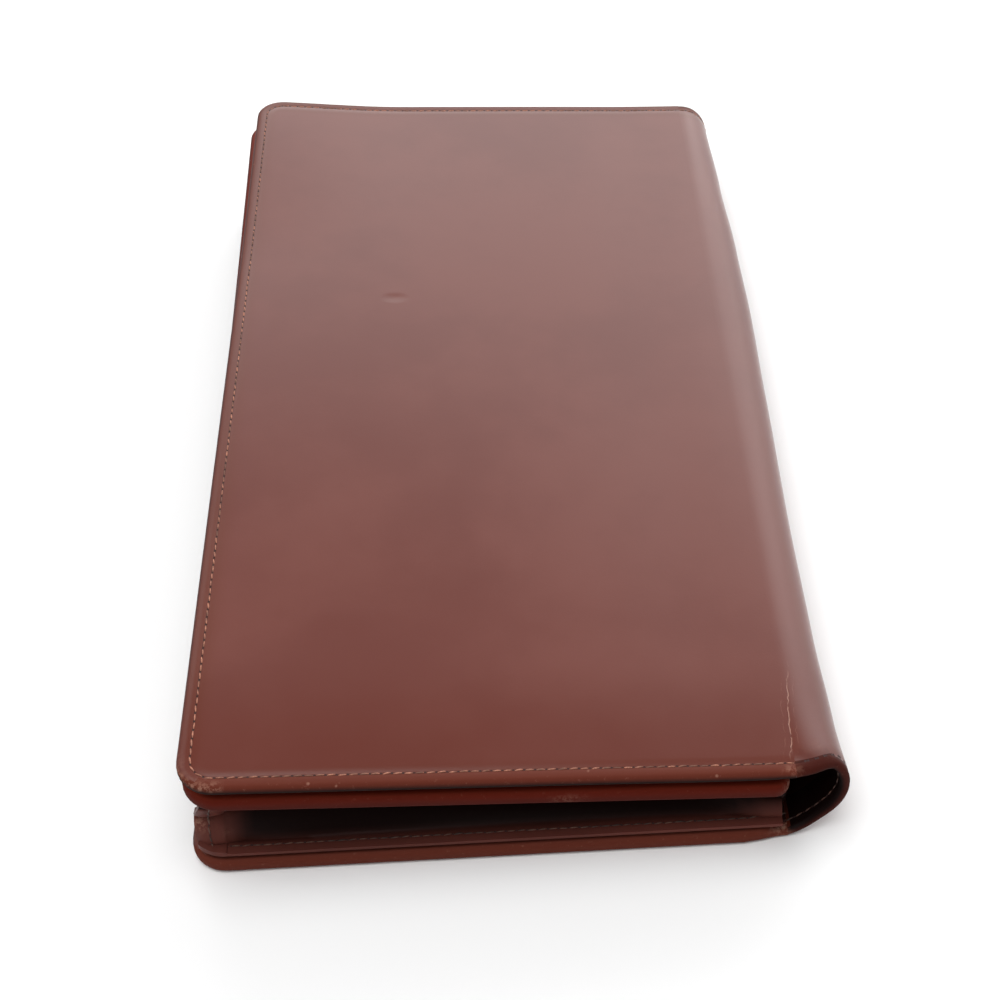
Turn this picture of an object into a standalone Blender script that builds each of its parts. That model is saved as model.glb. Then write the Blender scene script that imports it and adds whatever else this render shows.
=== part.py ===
"""Fold-over clutch wallet, lying closed on its back.

One leather cover runs from the back, round a rolled open spine, to the flap. On the back stands a pocket:
a stiff leaf that two V-fold gussets and a bottom strip join to the back. Each panel is leather turned over
a board, with a lining on its inner side. Metres, +Z up, origin under the middle of the closed wallet.
"""

import math

import bmesh
import bpy
from mathutils import Matrix, Vector

# Overall sizes
LENGTH = 0.260  # along the spine
BACK_REACH = 0.131  # from the lower crease to the back's free edge
FLAP_REACH = 0.130  # from the upper crease to the flap's free edge
LEAF_REACH = 0.1302  # from the leaf's rounded end in the spine to its free edge
SPINE_BULGE = 0.0115  # how far the spine stands out past the creases
CREASE_TOP_NEAR = 0.0255  # height of the flap's face at the upper crease, near end
CREASE_TOP_FAR = 0.0235  # the same at the far end, where the wallet lies flatter
FLAP_TILT = math.radians(2.8)  # the flap rises from the crease to its free edge

# Leather, board and lining
COVER_THICK = 0.0011
TURN_WIDTH = 0.009  # leather turned over a panel's edge
SEWN_INSET = 0.0022  # from a panel's edge to its lining
PLY_GAP = 0.0002  # between the layers of a panel
PIECE_GAP = 0.0003  # between pieces that meet edge to edge or face to face
BACK_BOARD_THICK = 0.0014
BACK_TURN_THICK = 0.0008
BACK_LINING_THICK = 0.0008
FLAP_BOARD_THICK = 0.0005
FLAP_TURN_THICK = 0.0006
FLAP_LINING_THICK = 0.0005
LEAF_BOARD_THICK = 0.0018
LEAF_TURN_THICK = 0.0008
LEAF_LINING_THICK = 0.0008
BOARD_STOP = 0.0055  # the boards end this far before a crease
SPINE_LINING_THICK = 0.0008
RIM_ROUND = 0.42  # rounding of a panel's rim, as a share of the rim's thickness
LINING_ROUND = 0.3  # the same for a lining

# Outlines
CORNER_RADIUS = 0.008  # free corners of the cover and the leaf
LEAF_END_RADIUS = 0.0035  # the leaf's corners inside the spine
WINDOW_CORNER = 0.4  # the turned leather's inner corners, as a share of the outer ones
LEAF_GAP = 0.0020  # between the flap's lining and the leaf
LEAF_END_INSET = 0.0002  # the leaf's rounded end stops this far before the crease

# Gussets
GUSSET_THICK = 0.0009
GUSSET_HEM_THICK = 0.0015  # doubled leather at the mouth
GUSSET_HEM_WIDTH = 0.006
GUSSET_DEPTH = 0.0120  # how far the fold reaches into the pocket
GUSSET_MOUTH_DEPTH = 0.0042  # the same at the mouth, where it stands open
GUSSET_OPENING_LENGTH = 0.034  # the fold reaches its full depth this far from the mouth
GUSSET_FLANGE = 0.0035  # sewn flat under the leaf and on the back
GUSSET_FLANGE_MOST = 0.45  # the flange is never more than this share of the depth
GUSSET_SAG = 0.45  # where along the fold's wall its extra row of points lies
GUSSET_HEM_STEP = 0.001  # the hem thins to the single leather over this length
GUSSET_EDGE_INSET = 0.0014
GUSSET_MOUTH_INSET = 0.0022  # from the back's free edge
FOLD_RADIUS = 0.0008

# Strip that closes the pocket beside the spine
STRIP_THICK = 0.0008
STRIP_FLANGE = 0.0055
STRIP_SWELL = 0.0012
STRIP_END_INSET = 0.0024

# Spine section: how far its curve is pulled out at the top and the bottom
SPINE_TOP_LIFT = 0.20  # as a share of the spine's height
SPINE_TOP_PULL = 1.17  # as a share of the bulge
SPINE_LOW_LIFT = 0.235
SPINE_LOW_PULL = 1.39

# Joint ranges
SPINE_TURN = math.radians(90)
POCKET_CLOSE = math.radians(4.5)  # the leaf pressed down towards the back

# How finely curves are stepped, and how far cutters reach past what they cut
CORNER_STEPS = 7
ROUND_STEPS = 2
FOLD_STEPS = 4
WALL_STEPS = 8
SPINE_STEPS = 22
SPINE_STATIONS = 9
GUSSET_STATIONS = 15
STRIP_STATIONS = 7
SHARP_ANGLE = math.radians(40)
MERGE_DISTANCE = 1e-6
CUT_PAST = 0.01
PIVOT_SIZE = 0.02

BACK_THICK = COVER_THICK + BACK_BOARD_THICK + BACK_TURN_THICK + BACK_LINING_THICK + 3 * PLY_GAP
FLAP_THICK = COVER_THICK + FLAP_BOARD_THICK + FLAP_TURN_THICK + FLAP_LINING_THICK + 3 * PLY_GAP
LEAF_THICK = COVER_THICK + LEAF_BOARD_THICK + LEAF_TURN_THICK + LEAF_LINING_THICK + 3 * PLY_GAP
CREASE_X = (BACK_REACH - SPINE_BULGE) / 2
BACK_EDGE_X = CREASE_X - BACK_REACH
CREASE_TOP = (CREASE_TOP_NEAR + CREASE_TOP_FAR) / 2
END_DROP = math.atan2(CREASE_TOP_NEAR - CREASE_TOP_FAR, LENGTH)

LEATHER = ((0.165, 0.048, 0.036), 0.34)
EDGE_LEATHER = ((0.120, 0.034, 0.027), 0.38)
LINING = ((0.095, 0.032, 0.026), 0.48)
BOARD = ((0.30, 0.24, 0.17), 0.85)


def clear_scene():
    for obj in list(bpy.data.objects):
        bpy.data.objects.remove(obj)


def collection(name):
    made = bpy.data.collections.new(name)
    bpy.context.scene.collection.children.link(made)
    return made


def material(name, look):
    colour, roughness = look
    made = bpy.data.materials.new(name)
    made.use_nodes = True
    shader = made.node_tree.nodes["Principled BSDF"]
    shader.inputs["Base Color"].default_value = (*colour, 1)
    shader.inputs["Roughness"].default_value = roughness
    shader.inputs["Metallic"].default_value = 0
    return made


def finish_piece(obj, group, look):
    """Links the piece, gives it its own material and shades it smooth up to its sharp edges."""
    group.objects.link(obj)
    obj.data.materials.clear()
    obj.data.materials.append(material(obj.name, look))
    obj.data.shade_smooth()
    obj.data.set_sharp_from_angle(angle=SHARP_ANGLE)
    return obj


def as_cutter(obj):
    obj.hide_render = True
    obj.display_type = "WIRE"
    return obj


def arc(centre, radius, start, turn, steps):
    return [
        centre + radius * Vector((math.cos(start + turn * i / steps), math.sin(start + turn * i / steps)))
        for i in range(steps + 1)
    ]


def rounded_outline(x_free, x_hinge, half_length, free_radius, hinge_radius):
    """A panel's outline, anticlockwise: round at the free edge, and at the other unless its radius is 0."""
    points = []
    corners = (
        (x_hinge, half_length, hinge_radius, 0.0),
        (x_free, half_length, free_radius, 0.5 * math.pi),
        (x_free, -half_length, free_radius, math.pi),
        (x_hinge, -half_length, hinge_radius, 1.5 * math.pi),
    )
    for x, y, radius, start in corners:
        if radius <= 0:
            points.append(Vector((x, y)))
            continue
        side = math.copysign(radius, x - (x_free + x_hinge) / 2)
        centre = Vector((x - side, y - math.copysign(radius, y)))
        points += arc(centre, radius, start, 0.5 * math.pi, CORNER_STEPS)
    return points


def plate(name, x_free, x_hinge, half_length, free_radius, hinge_radius, z_low, z_high, edge_round=0.0):
    """A flat plate between two heights, as a mesh object. edge_round rounds its rim."""
    outline = rounded_outline(
        x_free + edge_round,
        x_hinge - edge_round,
        half_length - edge_round,
        max(free_radius - edge_round, 0),
        max(hinge_radius - edge_round, 0),
    )
    curve = bpy.data.curves.new(name, "CURVE")
    curve.dimensions = "2D"
    curve.fill_mode = "BOTH"
    curve.extrude = (z_high - z_low) / 2 - edge_round
    curve.bevel_depth = edge_round
    curve.bevel_resolution = ROUND_STEPS
    spline = curve.splines.new("POLY")
    spline.points.add(len(outline) - 1)
    for point, spot in zip(spline.points, outline):
        point.co = (spot.x, spot.y, 0, 1)
    spline.use_cyclic_u = True
    holder = bpy.data.objects.new(name, curve)
    bpy.context.scene.collection.objects.link(holder)
    bpy.context.view_layer.update()
    evaluated = holder.evaluated_get(bpy.context.evaluated_depsgraph_get())
    mesh = bpy.data.meshes.new_from_object(evaluated)
    bpy.data.objects.remove(holder)
    shaped = bmesh.new()
    shaped.from_mesh(mesh)
    bmesh.ops.remove_doubles(shaped, verts=shaped.verts, dist=MERGE_DISTANCE)
    bmesh.ops.translate(shaped, verts=shaped.verts, vec=(0, 0, (z_low + z_high) / 2))
    bmesh.ops.recalc_face_normals(shaped, faces=shaped.faces)
    shaped.to_mesh(mesh)
    shaped.free()
    mesh.name = name
    return bpy.data.objects.new(name, mesh)


def cut(obj, cutter):
    modifier = obj.modifiers.new(cutter.name, "BOOLEAN")
    modifier.operation = "DIFFERENCE"
    modifier.object = cutter
    modifier.solver = "EXACT"


def box_cutter(name, low, high):
    mesh = bpy.data.meshes.new(name)
    shaped = bmesh.new()
    bmesh.ops.create_cube(shaped, size=1)
    size = Vector(high) - Vector(low)
    bmesh.ops.scale(shaped, vec=size, verts=shaped.verts)
    bmesh.ops.translate(shaped, vec=(Vector(high) + Vector(low)) / 2, verts=shaped.verts)
    shaped.to_mesh(mesh)
    shaped.free()
    return bpy.data.objects.new(name, mesh)


def turned_panel(name, parent, offset, reach, plies, end_radius, pieces, cutters):
    """A panel in its own frame: skin at z 0, inner side at +z, and x from 0 at the crease to -reach.

    Its cover is leather turned over the free edges onto the board, and the lining is sewn over the turned
    leather. With an end_radius the panel is free at x 0 too, and is turned there as well. plies holds the
    thickness of the board, the turned leather and the lining.
    """
    board_thick, turn_thick, lining_thick = plies
    half = LENGTH / 2
    free_end = end_radius > 0
    board_low = COVER_THICK + PLY_GAP
    turn_low = board_low + board_thick + PLY_GAP
    turn_high = turn_low + turn_thick
    lining_low = turn_high + PLY_GAP
    past = 0.0 if free_end else 2 * CUT_PAST
    inset = COVER_THICK
    rim_round = RIM_ROUND * turn_high

    cover = plate(f"{name}_cover", -reach, past, half, CORNER_RADIUS, end_radius, 0, turn_high, rim_round)
    room = plate(
        f"{name}_board_room",
        -reach + inset,
        past - inset if free_end else past + CUT_PAST,
        half - inset,
        CORNER_RADIUS - inset,
        max(end_radius - inset, 0),
        COVER_THICK,
        turn_low,
    )
    window = plate(
        f"{name}_window",
        -reach + TURN_WIDTH,
        -TURN_WIDTH if free_end else past + CUT_PAST,
        half - TURN_WIDTH,
        CORNER_RADIUS * WINDOW_CORNER,
        end_radius * WINDOW_CORNER,
        turn_low - 0.5 * board_thick,
        turn_high + CUT_PAST,
    )
    cutting = [room, window]
    if not free_end:
        low = (-PIECE_GAP / 2, -LENGTH, -CUT_PAST)
        high = (4 * CUT_PAST, LENGTH, turn_high + CUT_PAST)
        cutting.append(box_cutter(f"{name}_past_crease", low, high))

    board_inset = inset + PLY_GAP
    board = plate(
        f"{name}_board",
        -reach + board_inset,
        -board_inset if free_end else -BOARD_STOP,
        half - board_inset,
        CORNER_RADIUS - board_inset,
        max(end_radius - board_inset, 0),
        board_low,
        board_low + board_thick,
    )
    lining = plate(
        f"{name}_lining",
        -reach + SEWN_INSET,
        -SEWN_INSET if free_end else -PIECE_GAP / 2,
        half - SEWN_INSET,
        CORNER_RADIUS - SEWN_INSET,
        max(end_radius - SEWN_INSET, 0),
        lining_low,
        lining_low + lining_thick,
        LINING_ROUND * lining_thick,
    )
    for piece, look in ((cover, LEATHER), (board, BOARD), (lining, LINING)):
        finish_piece(piece, pieces, look)
        piece.parent = parent
        piece.matrix_local = offset
    for cutter in cutting:
        cutters.objects.link(as_cutter(cutter))
        cutter.parent = parent
        cutter.matrix_local = offset
        cut(cover, cutter)


def sheet_between(name, rows, thickness, pieces, look, hem_rows=0, hem_thickness=None):
    """A leather sheet through a grid of points, one list for each station, thickened on both sides."""
    mesh = bpy.data.meshes.new(name)
    shaped = bmesh.new()
    grid = [[shaped.verts.new(point) for point in row] for row in rows]
    for first, second in zip(grid, grid[1:]):
        for a, b, c, d in zip(first, first[1:], second[1:], second):
            shaped.faces.new((a, b, c, d))
    bmesh.ops.recalc_face_normals(shaped, faces=shaped.faces)
    shaped.to_mesh(mesh)
    shaped.free()
    obj = bpy.data.objects.new(name, mesh)
    finish_piece(obj, pieces, look)
    solid = obj.modifiers.new("leather", "SOLIDIFY")
    solid.offset = 0
    solid.use_even_offset = True
    solid.thickness = thickness
    if hem_rows:
        solid.thickness = hem_thickness
        solid.thickness_vertex_group = thickness / hem_thickness
        hem = obj.vertex_groups.new(name="hem")
        hem.add(list(range(hem_rows * len(rows[0]))), 1.0, "REPLACE")
        solid.vertex_group = hem.name
    return obj


def crease_top(y):
    """Height of the flap's face at the upper crease."""
    return CREASE_TOP - math.tan(END_DROP) * y


def flap_frame():
    """The flap's frame: origin on its face at the middle of the crease, z out of its face."""
    turn = Matrix.Rotation(-END_DROP, 4, "X") @ Matrix.Rotation(FLAP_TILT, 4, "Y")
    return Matrix.Translation((CREASE_X, 0, CREASE_TOP)) @ turn


def leaf_frame():
    return flap_frame() @ Matrix.Translation((-LEAF_END_INSET, 0, -FLAP_THICK - LEAF_GAP))


def leaf_under(x, y):
    """Height of the leaf's underside above a point of the back."""
    frame = leaf_frame()
    spot = frame @ Vector((0, 0, -LEAF_THICK))
    normal = frame.to_3x3() @ Vector((0, 0, 1))
    return spot.z - (normal.x * (x - spot.x) + normal.y * (y - spot.y)) / normal.z


def spine_section(y, inward):
    """The spine's section at y, from the upper crease round to the lower, moved in from its outer face."""
    height = crease_top(y) - PIECE_GAP
    start = Vector((0, height))
    pull_top = Vector((SPINE_TOP_PULL * SPINE_BULGE, height * (1 + SPINE_TOP_LIFT)))
    pull_low = Vector((SPINE_LOW_PULL * SPINE_BULGE, height * SPINE_LOW_LIFT))
    end = Vector((0, PIECE_GAP))
    points = []
    for step in range(SPINE_STEPS + 1):
        t = step / SPINE_STEPS
        s = 1 - t
        spot = s**3 * start + 3 * s * s * t * pull_top + 3 * s * t * t * pull_low + t**3 * end
        along = s * s * (pull_top - start) + 2 * s * t * (pull_low - pull_top) + t * t * (end - pull_low)
        side = Vector((along.y, -along.x)).normalized()
        moved = spot + inward * side
        points.append(Vector((CREASE_X + max(moved.x, 0) + PIECE_GAP / 2, y, moved.y)))
    return points


def stations(first, last, count):
    return [first + (last - first) * i / (count - 1) for i in range(count)]


def spine_sheet(name, inward, thickness, look, pieces, parent):
    half = LENGTH / 2
    rows = [spine_section(y, inward) for y in stations(-half, half, SPINE_STATIONS)]
    obj = sheet_between(name, rows, thickness, pieces, look)
    obj.data.transform(parent.matrix_world.inverted())
    obj.parent = parent
    return obj


def gusset_section(x, side):
    """The V fold at x, from its flange under the leaf, in to the fold and out to its flange on the back.

    side is -1 at the near end and 1 at the far end.
    """
    along = min((x - (BACK_EDGE_X + GUSSET_MOUTH_INSET)) / GUSSET_OPENING_LENGTH, 1)
    eased = along * (2 - along)
    depth = GUSSET_MOUTH_DEPTH + (GUSSET_DEPTH - GUSSET_MOUTH_DEPTH) * eased
    flange = min(GUSSET_FLANGE, GUSSET_FLANGE_MOST * depth)
    hem_end = BACK_EDGE_X + GUSSET_MOUTH_INSET + GUSSET_HEM_WIDTH
    thick = GUSSET_HEM_THICK if x <= hem_end else GUSSET_THICK
    seat = PIECE_GAP + thick / 2
    outer = LENGTH / 2 - GUSSET_EDGE_INSET
    inner = outer - depth
    deepest = min(leaf_under(x, side * outer), leaf_under(x, side * (outer - flange)))
    top = deepest - seat
    low = BACK_THICK + seat
    middle = (top + low) / 2
    tip = inner + FOLD_RADIUS
    round_fold = arc(Vector((tip, middle)), FOLD_RADIUS, 0.5 * math.pi, math.pi, FOLD_STEPS)
    seam = Vector((outer - flange, top))
    fold_top = Vector((tip, middle + FOLD_RADIUS))
    upper = [Vector((outer, top)), seam, fold_top.lerp(seam, GUSSET_SAG)]
    lower = [Vector((spot.x, 2 * middle - spot.y)) for spot in reversed(upper)]
    return [Vector((x, side * spot.x, spot.y)) for spot in upper + round_fold + lower]


def gusset(name, side, pieces):
    first = BACK_EDGE_X + GUSSET_MOUTH_INSET
    last = CREASE_X - STRIP_FLANGE - STRIP_SWELL - 2 * PIECE_GAP
    hem_end = first + GUSSET_HEM_WIDTH
    hem_spots = [first, (first + hem_end) / 2, hem_end]
    spots = hem_spots + stations(hem_end + GUSSET_HEM_STEP, last, GUSSET_STATIONS)
    rows = [gusset_section(x, side) for x in spots]
    return sheet_between(name, rows, GUSSET_THICK, pieces, EDGE_LEATHER, 3, GUSSET_HEM_THICK)


def strip_section(y):
    """The strip at y: a flange under the leaf, a rounded wall beside the spine and a flange on the back."""
    wall = CREASE_X - STRIP_SWELL - PIECE_GAP
    seat = PIECE_GAP + STRIP_THICK / 2
    top = leaf_under(wall, y) - seat
    low = BACK_THICK + seat
    middle = (top + low) / 2
    rise = (top - low) / 2
    bend = [
        Vector((wall + STRIP_SWELL * math.cos(a), y, middle + rise * math.sin(a)))
        for a in (math.pi / 2 - math.pi * i / WALL_STEPS for i in range(WALL_STEPS + 1))
    ]
    upper = Vector((wall - STRIP_FLANGE, y, leaf_under(wall - STRIP_FLANGE, y) - seat))
    lower = Vector((wall - STRIP_FLANGE, y, low))
    return [upper, *bend, lower]


def pocket_strip(pieces):
    half = LENGTH / 2 - STRIP_END_INSET
    rows = [strip_section(y) for y in stations(-half, half, STRIP_STATIONS)]
    return sheet_between("pocket_strip", rows, STRIP_THICK, pieces, EDGE_LEATHER)


def pivot(name, frame, parent, group):
    empty = bpy.data.objects.new(name, None)
    group.objects.link(empty)
    empty.empty_display_size = PIVOT_SIZE
    empty.parent = parent
    empty.matrix_world = frame
    bpy.context.view_layer.update()
    return empty


def main():
    clear_scene()
    pieces = collection("clutch_wallet")
    cutters = collection("cutters")
    over = Matrix.Rotation(math.pi, 4, "X")

    base = pivot("back_frame", Matrix.Translation((CREASE_X, 0, 0)), None, pieces)
    back_plies = (BACK_BOARD_THICK, BACK_TURN_THICK, BACK_LINING_THICK)
    turned_panel("back", base, Matrix.Identity(4), BACK_REACH, back_plies, 0.0, pieces, cutters)
    gusset("gusset_near", -1, pieces)
    gusset("gusset_far", 1, pieces)
    pocket_strip(pieces)

    spine_axis = Matrix.Translation((CREASE_X, 0, FLAP_THICK / 2))
    spine = pivot("spine_axis", spine_axis, None, pieces)
    spine_sheet("spine_cover", COVER_THICK / 2, COVER_THICK, LEATHER, pieces, spine)
    lining_depth = COVER_THICK + PLY_GAP + SPINE_LINING_THICK / 2
    spine_sheet("spine_lining", lining_depth, SPINE_LINING_THICK, LINING, pieces, spine)

    flap_axis = flap_frame() @ Matrix.Translation((0, 0, -FLAP_THICK / 2))
    flap = pivot("flap_axis", flap_axis, spine, pieces)
    flap_plies = (FLAP_BOARD_THICK, FLAP_TURN_THICK, FLAP_LINING_THICK)
    face_down = Matrix.Translation((0, 0, FLAP_THICK / 2)) @ over
    turned_panel("flap", flap, face_down, FLAP_REACH, flap_plies, 0.0, pieces, cutters)

    hinge_x = CREASE_X - STRIP_SWELL - PIECE_GAP
    hinge_z = (leaf_under(hinge_x, 0) + BACK_THICK) / 2
    hinge_turn = Matrix.Rotation(-END_DROP / 2, 4, "X")
    leaf = pivot("leaf_axis", Matrix.Translation((hinge_x, 0, hinge_z)) @ hinge_turn, None, pieces)
    offset = leaf.matrix_world.inverted() @ leaf_frame() @ over
    leaf_plies = (LEAF_BOARD_THICK, LEAF_TURN_THICK, LEAF_LINING_THICK)
    turned_panel("leaf", leaf, offset, LEAF_REACH, leaf_plies, LEAF_END_RADIUS, pieces, cutters)

    print("spine axis", tuple(round(v, 5) for v in spine_axis.translation))
    print("flap axis", tuple(round(v, 5) for v in flap_axis.translation), "direction",
          tuple(round(v, 6) for v in flap_axis.to_3x3() @ Vector((0, 1, 0))), "turn",
          round(math.degrees(SPINE_TURN - FLAP_TILT), 3))
    print("leaf axis", tuple(round(v, 5) for v in leaf.matrix_world.translation), "direction",
          tuple(round(v, 6) for v in leaf.matrix_world.to_3x3() @ Vector((0, -1, 0))), "turn",
          round(math.degrees(POCKET_CLOSE), 3))


main()
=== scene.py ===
"""Clutch wallet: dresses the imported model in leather, linings and sewing, and lights it for its portrait."""
import math
from typing import Callable, NamedTuple

import bmesh
import bpy
from bpy.props import FloatProperty, FloatVectorProperty, PointerProperty
from mathutils import Matrix, Vector, noise


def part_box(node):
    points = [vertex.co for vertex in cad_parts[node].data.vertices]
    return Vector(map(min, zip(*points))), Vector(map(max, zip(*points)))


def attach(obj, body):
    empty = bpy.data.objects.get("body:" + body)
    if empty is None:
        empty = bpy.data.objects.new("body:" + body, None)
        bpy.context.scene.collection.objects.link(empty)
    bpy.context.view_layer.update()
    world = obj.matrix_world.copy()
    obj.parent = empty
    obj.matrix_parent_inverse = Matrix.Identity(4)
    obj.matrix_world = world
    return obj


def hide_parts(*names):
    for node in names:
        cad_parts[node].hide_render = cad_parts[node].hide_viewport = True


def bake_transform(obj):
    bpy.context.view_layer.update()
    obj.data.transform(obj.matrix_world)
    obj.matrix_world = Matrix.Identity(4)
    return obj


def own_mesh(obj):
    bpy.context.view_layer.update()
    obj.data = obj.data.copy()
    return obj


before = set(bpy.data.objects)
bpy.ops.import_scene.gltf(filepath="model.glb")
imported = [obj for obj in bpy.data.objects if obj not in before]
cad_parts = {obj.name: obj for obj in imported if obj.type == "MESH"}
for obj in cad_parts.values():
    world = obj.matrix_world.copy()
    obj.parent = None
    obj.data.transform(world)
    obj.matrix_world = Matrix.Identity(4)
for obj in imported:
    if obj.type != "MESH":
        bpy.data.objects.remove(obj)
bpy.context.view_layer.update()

bl_info = {
    "name": "Clutch Wallet",
    "version": (1, 0, 0),
    "blender": (4, 5, 0),
    "location": "3D View > Sidebar > Wallet",
    "description": "Builds the leather skins, linings, gussets and stitching of a fold-over clutch wallet",
    "category": "Object",
}

BACK_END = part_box("back_cover")[1][0]
LINING_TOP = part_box("back_lining")[1][2]

HAIR = 1e-5  # a length too small to see, for telling places apart
GROOVE = 0.00045  # half the width of the groove that a row of stitches presses into the leather
GROOVE_DEPTH = 0.00012
SKIN_GRID = 0.0055  # mesh size of the leather skins
PLATE_GRID = 0.009  # mesh size of linings and boards
CREASE_ROWS = (-0.0046, -0.0035, -0.0025, -0.0016, -0.0008)  # finer mesh rows close to a crease
FLAP_SKIN = 0.0026  # depth of each panel's leather where it is turned over
LEAF_SKIN = 0.0041
BACK_SKIN = 0.0037
FLAP_BOARD = (-0.0012, -0.0027)  # top and bottom of the flap's board under its face
UNDER_SKIN = 0.0002  # from a skin's turned edge down to the lining
SPINE_TURNED = 0.0021  # depth of the spine's leather where its ends are turned in
FLANGE_INSET = 0.0014  # from a panel's edge to the gusset's flange
HEM_WIDTH = 0.006  # leather turned over at a gusset's mouth
GUSSET_LEATHER = 0.0015  # thickness of a gusset's doubled hem
STRIP_LEATHER = 0.0008
CAMERA_PLACE = (0.0048465, -0.3551608, 0.3341546)  # fitted to the photograph
CAMERA_TURN = (0.7919287, 0.0149496, -0.0549484)


# Sizes and colours


def length_prop(name, description, default):
    return FloatProperty(name=name, description=description, default=default, unit="LENGTH", precision=5)


def colour_prop(name, description, default):
    return FloatVectorProperty(
        name=name, description=description, default=default, subtype="COLOR", size=3, min=0.0, max=1.0
    )


class WalletSizes(bpy.types.PropertyGroup):
    half_length: length_prop("Half length", "Half of the wallet along the spine", 0.130)
    crease_x: length_prop("Crease", "Distance of both creases from the middle", BACK_END + 0.00015)
    back_reach: length_prop("Back reach", "From the lower crease to the back's free edge", 0.131)
    flap_reach: length_prop("Flap reach", "From the upper crease to the flap's free edge", 0.130)
    leaf_reach: length_prop("Leaf reach", "Width of the pocket leaf", 0.1302)
    crease_near: length_prop("Crease height near", "Height of the flap's crease at the near end", 0.0255)
    crease_far: length_prop("Crease height far", "The same at the far end", 0.0235)
    flap_tilt: FloatProperty(
        name="Flap tilt",
        description="The flap rises from the crease to its free edge",
        default=math.radians(2.8),
        subtype="ANGLE",
    )
    spine_bulge: length_prop("Spine bulge", "How far the rolled spine stands out past the creases", 0.0115)
    back_thick: length_prop("Back thickness", "Back panel with its lining", LINING_TOP)
    flap_thick: length_prop("Flap thickness", "Flap panel with its lining", 0.0033)
    leaf_thick: length_prop("Leaf thickness", "Leaf panel with its lining", 0.0051)
    leaf_gap: length_prop("Gap over the leaf", "Between the flap's lining and the leaf", 0.0020)
    leather: length_prop("Leather", "Thickness of the cover leather", 0.0011)
    corner_radius: length_prop("Corner radius", "Free corners of the panels", 0.008)
    turn_width: length_prop("Turned edge", "Leather turned over a panel's edge", 0.009)
    sewn_inset: length_prop("Lining inset", "From a panel's edge to its lining", 0.0022)
    gusset_depth: length_prop("Gusset depth", "How far the V fold reaches into the pocket", 0.0120)
    mouth_depth: length_prop("Gusset mouth depth", "The same at the pocket's mouth", 0.0042)
    stitch_pitch: length_prop("Stitch pitch", "From one needle hole to the next", 0.0023)
    stitch_inset: length_prop("Stitch inset", "From a panel's edge to its row of stitches", 0.0029)
    thread: length_prop("Thread", "Thickness of the sewing thread", 0.00036)


class WalletColours(bpy.types.PropertyGroup):
    cover: colour_prop("Cover leather", "Polished outer leather", (0.128, 0.034, 0.025))
    cover_pale: colour_prop("Cover leather, pale", "Lighter clouds in the cover", (0.150, 0.044, 0.033))
    worn: colour_prop("Worn leather", "Rubbed corners and edges", (0.40, 0.21, 0.15))
    leaf: colour_prop("Leaf leather", "Leather of the pocket leaf", (0.150, 0.021, 0.011))
    gusset: colour_prop("Gusset leather", "Thin leather of the gussets", (0.084, 0.024, 0.018))
    # The lining's own dark brown is darkened further as painted shade inside the pockets.
    lining: colour_prop("Lining", "Satin lining leather", (0.016, 0.005, 0.004))
    thread: colour_prop("Thread", "Sewing thread", (0.50, 0.205, 0.125))
    # The needle holes' dark colour is painted shade inside the holes.
    needle_hole: colour_prop("Needle hole", "Dark of the needle holes", (0.020, 0.006, 0.005))
    board: colour_prop("Board", "Stiffening board inside the panels", (0.30, 0.24, 0.17))
    floor: colour_prop("Floor", "Table and backdrop", (0.93, 0.93, 0.93))


def sizes():
    return bpy.context.scene.wallet_sizes


def colours():
    return bpy.context.scene.wallet_colours


def toned(colour, *shares):
    """The colour times one share, or each of its channels times its own."""
    return tuple(value * share for value, share in zip(colour, shares * (3 // len(shares))))


# Where things lie


def flap_frame():
    """The flap's frame: origin on its face at the crease's middle, z out of it, x towards the spine."""
    s = sizes()
    end_drop = math.atan2(s.crease_near - s.crease_far, 2 * s.half_length)
    turn = Matrix.Rotation(-end_drop, 4, "X") @ Matrix.Rotation(s.flap_tilt, 4, "Y")
    return Matrix.Translation((s.crease_x, 0, (s.crease_near + s.crease_far) / 2)) @ turn


def leaf_frame():
    s = sizes()
    leaf_shift = 0.0002
    return flap_frame() @ Matrix.Translation((-leaf_shift, 0, -s.flap_thick - s.leaf_gap))


def back_frame():
    """The back's frame: its face looks down."""
    return Matrix.Translation((sizes().crease_x, 0, 0)) @ Matrix.Rotation(math.pi, 4, "X")


def leaf_under(x, y):
    """Height of the leaf's underside above a point of the table."""
    frame_of_leaf = leaf_frame()
    spot = frame_of_leaf @ Vector((0, 0, -sizes().leaf_thick))
    normal = frame_of_leaf.to_3x3() @ Vector((0, 0, 1))
    return spot.z - (normal.x * (x - spot.x) + normal.y * (y - spot.y)) / normal.z


def eased(value, start, end):
    """0 before start, 1 after end, and a smooth turn between them."""
    t = min(max((value - start) / (end - start), 0.0), 1.0)
    return t * t * (3 - 2 * t)


def through_stops(value, stops):
    """A smooth value through (place, value) stops."""
    if value <= stops[0][0]:
        return stops[0][1]
    for (a, low), (b, high) in zip(stops, stops[1:]):
        if value <= b:
            return low + (high - low) * eased(value, a, b)
    return stops[-1][1]


# Modelling by hand


def deselect():
    if bpy.context.object and bpy.context.object.mode != "OBJECT":
        bpy.ops.object.mode_set(mode="OBJECT")
    bpy.ops.object.select_all(action="DESELECT")


def pick(obj):
    deselect()
    obj.select_set(True)
    bpy.context.view_layer.objects.active = obj


def name_new(name):
    """Names the object that was just added, and its mesh."""
    obj = bpy.context.object
    obj.name = name
    obj.data.name = name
    return obj


def select_parts(obj, kind, wanted):
    """Selects the faces or edges that wanted(part) says, in edit mode."""
    bpy.ops.mesh.select_mode(type=kind)
    bpy.ops.mesh.select_all(action="DESELECT")
    mesh = bmesh.from_edit_mesh(obj.data)
    mesh.normal_update()
    for part in mesh.faces if kind == "FACE" else mesh.edges:
        part.select_set(bool(wanted(part)))
    bmesh.update_edit_mesh(obj.data)


def select_faces(obj, wanted):
    select_parts(obj, "FACE", wanted)


def select_edges(obj, wanted):
    select_parts(obj, "EDGE", wanted)


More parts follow.
